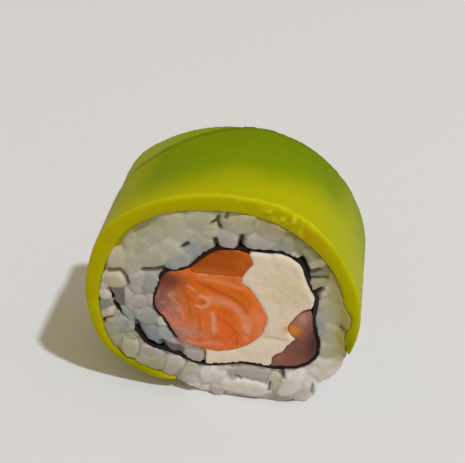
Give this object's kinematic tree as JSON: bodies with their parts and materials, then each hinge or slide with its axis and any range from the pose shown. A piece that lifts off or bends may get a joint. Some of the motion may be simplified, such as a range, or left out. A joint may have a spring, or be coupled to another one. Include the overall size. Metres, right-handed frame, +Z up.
{
  "type": "uramaki roll piece",
  "caption": "One cut piece of an inside-out sushi roll: avocado slices over rice, with seaweed rolled round salmon and cream cheese.",
  "frame": {"origin": "on the resting surface, under the middle of the roll's box", "axes": "+X to the right across the front cut face, +Y along the roll's axis from the front cut face to the rear one, +Z up"},
  "size_m": [0.0463, 0.0224, 0.0415],
  "materials": {
    "rice": "moist cooked short-grain rice, slightly translucent",
    "nori": "toasted seaweed sheet, damp and nearly black",
    "salmon": "raw salmon, wet, with pale fat lines",
    "dark_salmon": "darker salmon with a red-brown side, wet",
    "cream_cheese": "smooth soft cream cheese, knife-smeared",
    "avocado": "ripe avocado flesh, yellow turning to green, smooth and moist"
  },
  "bodies": {
    "root": {"rice": "rice", "nori": "nori", "salmon_main": "salmon", "salmon_upper": "salmon", "salmon_right": "dark_salmon", "cream_cheese": "cream_cheese", "avocado_front": "avocado", "avocado_rear": "avocado"}
  },
  "joints": []
}
